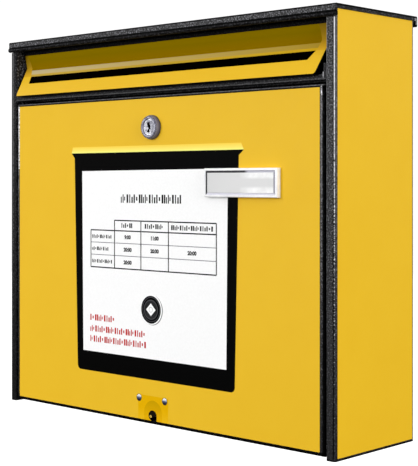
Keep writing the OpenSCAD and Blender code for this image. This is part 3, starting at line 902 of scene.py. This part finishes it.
class MAILBOX_OT_timetable(bpy.types.Operator):
    """Prints the table with its numbers, and strokes in place of its words"""
    bl_idname = "mailbox.timetable"
    bl_label = "Timetable"

    def execute(self, context):
        dark = chosen_ink("dark_text", 0.02)
        x = COLUMNS
        z = ROWS
        half = LINE_HALF
        lines = [(x[0] - half, x[0] + half, z[4], z[1])]
        lines += [(c - half, c + half, z[4], z[0]) for c in x[1:]]
        lines += [(x[1], x[4], z[0] - half, z[0] + half)]
        lines += [(x[0], x[4], row - half, row + half) for row in (z[1], z[4])]
        print_on_door("print_table_lines", strips(lines), 2, ink("grey_line_ink"))
        thin = [(x[0], x[4], row - THIN_LINE_HALF, row + THIN_LINE_HALF) for row in z[2:4]]
        print_on_door("print_table_rows", strips(thin), 2, ink("pale_line_ink"))
        print_on_door("print_title_strokes", word_strokes(TITLE_WORDS), 2, dark)
        print_on_door("print_column_heads", word_strokes(HEAD_WORDS), 2, dark)
        print_on_door("print_row_names", word_strokes(ROW_WORDS), 2, dark)
        for tag, text, column, row in TIMES:
            middle = (x[column] + x[column + 1]) / 2
            low = (z[row] + z[row + 1]) / 2 - 1.4
            digits("print_time_" + tag, text, middle, low, 2, dark)
        print_on_door("print_red_strokes", word_strokes(NOTICE_WORDS), 2,
                      chosen_ink("red_text", 0.02))
        return {"FINISHED"}


# Middle of the printed knob
KNOB = (-1.2, 94.8)


class MAILBOX_OT_knob_print(bpy.types.Operator):
    """Prints the round black knob with its white diamond"""
    bl_idname = "mailbox.knob_print"
    bl_label = "Knob print"

    def execute(self, context):
        x, z = KNOB
        foot = SHELL_LOW.z
        black = chosen_ink("black_panel", 0.02)
        white = chosen_ink("white_card", 0.05)
        ring = ink("grey_ring_ink")
        face = graded_ink("knob_face_ink", "Z", foot + (z - 8) * MM, foot + (z + 8) * MM,
                          ("#2E2E30", "#1A1A1B", "#2A2A2C"), 0.05)
        print_on_door("print_knob_shadow", disc(12.2, at=(x + 1.3, z - 0.3)), 2,
                      ink("pale_shadow_ink"))
        print_on_door("print_knob_gap", disc(12.1, at=(x + 0.5, z)), 3, white)
        print_on_door("print_knob_rim", disc(11.3, at=(x, z)), 4, black)
        print_on_door("print_knob_rim_line", disc(10.1, at=(x + 0.3, z + 0.2), hole=9.65), 5,
                      ring)
        print_on_door("print_knob_face", disc(8.0, at=(x, z)), 5, face)
        print_on_door("print_knob_face_line", disc(8.0, at=(x, z), hole=7.45), 6, ring)
        diamond = ((x - 5.5, z), (x, z - 5.2), (x + 5.5, z), (x, z + 5.2))
        print_on_door("print_knob_diamond", plate_of(diamond), 7, white)
        print_on_door("print_knob_circle", disc(2.3, at=(x, z), hole=1.7), 8,
                      ink("soft_grey_ink"))
        return {"FINISHED"}


# The keyhole's middle, the arch's foot and radius, and the rivets' places across and up
KEYHOLE = 1.05
ARCH_FOOT = 11.2
ARCH_RADIUS = 10.2
RIVETS = (("left", -15.1), ("right", 14.4))
RIVET_UP = 22.3


class MAILBOX_OT_keyhole_print(bpy.types.Operator):
    """Prints the keyhole plate with its two rivets"""
    bl_idname = "mailbox.keyhole_print"
    bl_label = "Keyhole print"

    def execute(self, context):
        foot = SHELL_LOW.z
        low = (FILM_LOW.z - foot) / MM
        plate = graded_ink("ochre_plate_ink", "Z", foot + low * MM, foot + 25 * MM,
                           ("#ECBA18", "#E6B000", "#E4AF00"), 0.02)
        arch = graded_ink("dark_ochre_ink", "Z", foot + 8 * MM, foot + 21 * MM,
                          ("#E4AE04", "#D6A400", "#C89C00"), 0.02)
        black = ink("keyhole_ink")
        x = KEYHOLE
        print_on_door("print_keyhole_plate", plate_of(rectangle(-16.2, 18.3, low, 25.0)), 0, plate)
        # The arch is the upper half of a circle, drawn out to the film's lower edge
        bow = bmesh.new()
        made = bmesh.ops.create_circle(
            bow, cap_ends=True, cap_tris=False, segments=48, radius=ARCH_RADIUS)
        bmesh.ops.translate(bow, vec=(x, ARCH_FOOT, 0), verts=made["verts"])
        below = bmesh.ops.bisect_plane(
            bow, geom=[*bow.verts, *bow.edges, *bow.faces], dist=JOIN,
            plane_co=(0, ARCH_FOOT, 0), plane_no=(0, -1, 0), clear_outer=True)
        cut = [e for e in below["geom_cut"] if isinstance(e, bmesh.types.BMEdge)]
        skirt = bmesh.ops.extrude_edge_only(bow, edges=cut)
        bmesh.ops.translate(
            bow, vec=(0, low - ARCH_FOOT + 0.01, 0), verts=verts_in(skirt["geom"]))
        bmesh.ops.recalc_face_normals(bow, faces=bow.faces)
        raise_faces(bow)
        print_on_door("print_keyhole_arch", bow, 1, arch)
        print_on_door("print_keyhole_eye", disc(4.3, at=(x - 0.4, 9.2), stretch=(1.08, 1)), 2,
                      black)
        tail = ((x - 1.6, low), (x + 4.2, low), (x + 4.2, 9.2), (x - 3.4, 7.4))
        print_on_door("print_keyhole_tail", plate_of(tail), 2, black)
        print_on_door("print_keyhole_glint", disc(1.1, 16, at=(x - 2.6, 8.4), stretch=(1.3, 1)), 3,
                      ink("keyhole_glint_ink"))
        middle = foot + RIVET_UP * MM
        for tag, across in RIVETS:
            dome = graded_ink("rivet_dome_ink_" + tag, "Z", middle - 2.8 * MM, middle + 2.8 * MM,
                              ("#0C0C10", "#20263A", "#56607C", "#E8EAF0", "#FFFFFF"), 0.05)
            print_on_door("print_rivet_rim_" + tag, disc(3.0, 32, at=(across, RIVET_UP)), 1,
                          ink("rivet_rim_ink"))
            print_on_door("print_rivet_" + tag, disc(2.6, 32, at=(across, RIVET_UP)), 2, dome)
        return {"FINISHED"}


# The keyway's outline on the plug's face, in millimetres from its middle
KEYWAY = (
    (-2.6, 4.4), (-1.6, 4.2), (1.2, 0.6), (1.1, -0.6), (-1.4, -4.6), (-2.9, -4.0), (-0.9, -0.7),
    (-2.2, 0.4), (-2.9, 2.6),
)


class MAILBOX_OT_lock(bpy.types.Operator):
    """Finishes the cam lock with its nut, washer, cam and screw"""
    bl_idname = "mailbox.lock"
    bl_label = "Cam lock"

    def execute(self, context):
        chrome = shared_material(bright_chrome)
        zinc = shared_material(zinc_plate)
        head = coat_node("chrome_lock_head", "lock_housing", "door", chrome,
                         CRISP_ANGLE)
        # Painted reflection: round the head's side the chrome is drawn pale at the front, then
        # dark, as it would mirror the room behind
        head.data.materials.append(graded_ink(
            "chrome_side_reflection", "Y", LOCK_LOW.y, DOOR_LOW.y,
            ("#9493A4", "#6A697C", "#4A495C", "#16141E"), 0.5))
        for face in head.data.polygons:
            if abs(face.normal.y) < 0.8 and face.center.y < DOOR_LOW.y:
                face.material_index = 1
        coat_node("chrome_lock_plug", "lock_plug", "lock", chrome,
                  CRISP_ANGLE)
        # A black plate of painted shade fills the keyway, as no light comes back out of it
        plug_low, plug_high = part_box("lock_plug")
        centre = (plug_low + plug_high) / 2
        way = plate_of(KEYWAY)
        bmesh.ops.transform(
            way, verts=way.verts, matrix=upright_plane(centre.x, plug_low.y, centre.z))
        bmesh.ops.recalc_face_normals(way, faces=way.faces)
        finish_piece("black_keyway", way, "lock", [ink("unlit_keyway")])
        coat_node("zinc_lock_washer", "lock_washer", "door", zinc)
        coat_node("zinc_lock_nut", "lock_nut", "door", zinc)
        coat_node("zinc_lock_cam", "lock_cam", "lock", zinc)
        coat_node("zinc_cam_screw", "cam_screw", "lock", zinc)
        return {"FINISHED"}


# The name plate's cover, in millimetres: how far its edges are rounded, its rim's width, and the
# groove inside the rim as steps inwards, each with its depth
FRONT_ROUND = 0.7
SIDE_ROUND = 0.6
RIM_WIDTH = 1.8
GROOVE = ((0.3, -0.6), (1.1, 0), (0.3, 0.5))


class MAILBOX_OT_name_plate(bpy.types.Operator):
    """Makes the clear name plate with its rim, groove and blank insert"""
    bl_idname = "mailbox.name_plate"
    bl_label = "Name plate"

    def execute(self, context):
        coat_node("plate_back", "nameplate_base", "door",
                  shared_material(styrene, "white_styrene", "#D4D4D3", "#E6E6E5"))
        coat_node("plate_paper", "nameplate_insert", "door",
                  shared_material(styrene, "blank_paper", "#DADAD8", "#E4E4E2", (0.7, 0.8)))
        size = PLATE_HIGH - PLATE_LOW
        middle = (PLATE_HIGH + PLATE_LOW) / 2
        shape = bmesh.new()
        bmesh.ops.create_cube(shape, size=1)
        bmesh.ops.scale(shape, vec=size, verts=shape.verts)
        front = next(f for f in shape.faces if f.normal.y < -0.9)
        bmesh.ops.bevel(shape, geom=list(front.edges), offset=FRONT_ROUND * MM,
                        offset_type="OFFSET", affect="EDGES", segments=4, profile=0.5, material=-1)
        upright = [e for e in shape.edges
                   if abs((e.verts[0].co - e.verts[1].co).normalized().y) > 0.9]
        bmesh.ops.bevel(shape, geom=upright, offset=SIDE_ROUND * MM, offset_type="OFFSET",
                        affect="EDGES", segments=3, profile=0.5, material=-1)
        front = max((f for f in shape.faces if f.normal.y < -0.9), key=lambda f: f.calc_area())
        bmesh.ops.inset_region(shape, faces=[front], thickness=(RIM_WIDTH - FRONT_ROUND) * MM,
                               use_even_offset=True)
        groove = []
        for thickness, depth in GROOVE:
            groove += bmesh.ops.inset_region(
                shape, faces=[front], thickness=thickness * MM, depth=depth * MM,
                use_even_offset=True)["faces"]
        for face in shape.faces:
            face.material_index = 0
        front.material_index = 1
        # Painted reflections: each side of the groove is drawn in the tone of another part of the
        # room that it would mirror
        for face in groove:
            place = face.calc_center_median()
            if abs(place.x) / size.x > abs(place.z) / size.z:
                face.material_index = 3 if place.x < 0 else 4
            else:
                face.material_index = 2 if place.z > 0 else 5
        bmesh.ops.translate(shape, vec=middle, verts=shape.verts)
        rim = styrene("clear_acrylic_rim", "#EDEDF2", "#FFFFFF", (0.08, 0.16))
        upper = graded_ink(
            "acrylic_upper_shadow", "X", PLATE_LOW.x + 41 * MM, PLATE_LOW.x + 45 * MM,
            ("#2E2D33", "#B9B7C4"), 0.3)
        finish_piece("clear_plate_cover", shape, "door", [
            rim, acrylic_window(), upper,
            plain_ink("acrylic_left_shadow", linear("#34333A"), 0.3, 0.2),
            plain_ink("acrylic_right_shadow", linear("#A3A2B0"), 0.3, 0.2),
            plain_ink("acrylic_lower_shadow", linear("#D6D5E0"), 0.3, 0.2),
        ], CRISP_ANGLE, ("nameplate_cover",))
        return {"FINISHED"}


# The large soft lights: name, place, width, height and power, all aimed at the mailbox
SOFTBOXES = (
    ("front_softbox", (-0.75, -1.9, 0.35), 1.4, 1.2, 22.0),
    ("right_softbox", (1.9, -0.35, 0.35), 1.2, 1.2, 19.0),
    ("top_softbox", (0.1, -0.5, 1.9), 1.6, 1.2, 1.0),
    ("left_softbox", (-1.8, 0.2, 0.6), 1.0, 1.2, 5.0),
    ("rear_softbox", (0.3, 1.9, 0.9), 1.4, 1.2, 6.0),
)
SOFTBOX_AIM = (0, -0.05, 0)

# The camera stands level, in front of the mailbox and to its right
CAMERA_PLACE = (0.71199, -0.79522, 0.03347)
CAMERA_TURN = 43.04
CAMERA_LENS = 94.91
CAMERA_SHIFT = -0.1101


def softbox(name, place, width, height, power):
    """A large even light."""
    light = bpy.data.lights.new(name, "AREA")
    light.shape = "RECTANGLE"
    light.size = width
    light.size_y = height
    light.energy = power
    lamp = bpy.data.objects.new(name, light)
    bpy.context.scene.collection.objects.link(lamp)
    lamp.location = place
    aim = Vector(SOFTBOX_AIM) - Vector(place)
    lamp.rotation_euler = aim.to_track_quat("-Z", "Y").to_euler()


class MAILBOX_OT_stage(bpy.types.Operator):
    """Sets the pale floor, the soft studio light and the camera"""
    bl_idname = "mailbox.stage"
    bl_label = "Stage"

    def execute(self, context):
        scene = context.scene
        look = scene.mailbox_stage
        scene.view_settings.view_transform = "Standard"
        shape = bmesh.new()
        bmesh.ops.create_grid(shape, x_segments=1, y_segments=1, size=8)
        bmesh.ops.translate(shape, vec=(0, 0, SHELL_LOW.z - look.drop), verts=shape.verts)
        mesh = bpy.data.meshes.new("studio_floor")
        shape.to_mesh(mesh)
        shape.free()
        floor = bpy.data.objects.new("studio_floor", mesh)
        scene.collection.objects.link(floor)
        paper, tree, shader, place = start_material(
            "white_studio_floor", Base_Color=(0.9, 0.9, 0.9, 1), Roughness=0.9,
            Specular_IOR_Level=0.0, Emission_Color=(1, 1, 1, 1), Emission_Strength=0.6)
        mesh.materials.append(paper)
        # The floor is far below, so it throws no light up at the mailbox
        floor.visible_diffuse = False
        floor.visible_glossy = False
        floor.visible_shadow = False

        world = bpy.data.worlds.new("white_studio")
        scene.world = world
        world.use_nodes = True
        tree = world.node_tree
        backdrop = tree.nodes["Background"]
        # Light falls mostly from above and fades towards the floor; the backdrop itself is white
        seen = add_node(tree, "ShaderNodeLightPath")
        way = add_node(tree, "ShaderNodeTexCoord")
        cut = add_node(tree, "ShaderNodeSeparateXYZ", {"Vector": way.outputs["Generated"]})
        height = add_node(tree, "ShaderNodeMapRange", {
            "Value": cut.outputs["Z"], "From Min": -1, "From Max": 1})
        fall = add_node(tree, "ShaderNodeValToRGB", {"Fac": height.outputs["Result"]}, stops=[
            (0.0, (0.04, 0.04, 0.04, 1)), (0.44, (0.06, 0.06, 0.06, 1)),
            (0.55, (0.9, 0.9, 0.9, 1)), (1.0, (0.3, 0.3, 0.3, 1)),
        ])
        glow = add_node(tree, "ShaderNodeMath", {
            0: fall.outputs["Color"], 1: look.ambience}, operation="MULTIPLY")
        strength = add_node(tree, "ShaderNodeMapRange", {
            "Value": seen.outputs["Is Camera Ray"], "To Min": glow.outputs[0], "To Max": 1.05})
        backdrop.inputs["Color"].default_value = (1, 1, 1, 1)
        tree.links.new(strength.outputs["Result"], backdrop.inputs["Strength"])

        for light in SOFTBOXES:
            softbox(*light)

        lens = bpy.data.cameras.new("camera")
        lens.lens = CAMERA_LENS
        lens.sensor_width = 36
        lens.shift_y = CAMERA_SHIFT
        camera = bpy.data.objects.new("camera", lens)
        scene.collection.objects.link(camera)
        camera.location = CAMERA_PLACE
        camera.rotation_euler = (math.radians(90), 0, math.radians(CAMERA_TURN))
        scene.camera = camera
        return {"FINISHED"}


class MAILBOX_PT_panel(bpy.types.Panel):
    """Lists the mailbox's settings and steps"""
    bl_label = "Mailbox"
    bl_idname = "MAILBOX_PT_panel"
    bl_space_type = "VIEW_3D"
    bl_region_type = "UI"
    bl_category = "Mailbox"

    def draw(self, context):
        layout = self.layout
        scene = context.scene
        for group, look in GROUPS.items():
            for setting in look.__annotations__:
                layout.prop(getattr(scene, group), setting)
        for step in STEPS:
            layout.operator(step.bl_idname)


GROUPS = {
    "mailbox_casing": CasingLook,
    "mailbox_film": FilmLook,
    "mailbox_print": PrintLook,
    "mailbox_stage": StageLook,
}
STEPS = (
    MAILBOX_OT_stage, MAILBOX_OT_casing, MAILBOX_OT_fixings, MAILBOX_OT_side_films,
    MAILBOX_OT_flap, MAILBOX_OT_door, MAILBOX_OT_panel_print, MAILBOX_OT_timetable,
    MAILBOX_OT_knob_print, MAILBOX_OT_keyhole_print, MAILBOX_OT_lock, MAILBOX_OT_name_plate,
)


def register():
    for made in (*GROUPS.values(), *STEPS, MAILBOX_PT_panel):
        bpy.utils.register_class(made)
    for name, group in GROUPS.items():
        setattr(bpy.types.Scene, name, PointerProperty(type=group))


def unregister():
    for name in GROUPS:
        delattr(bpy.types.Scene, name)
    for made in reversed((*GROUPS.values(), *STEPS, MAILBOX_PT_panel)):
        bpy.utils.unregister_class(made)


def main():
    register()
    for step in STEPS:
        group, name = step.bl_idname.split(".")
        getattr(getattr(bpy.ops, group), name)()


if __name__ == "__main__":
    main()
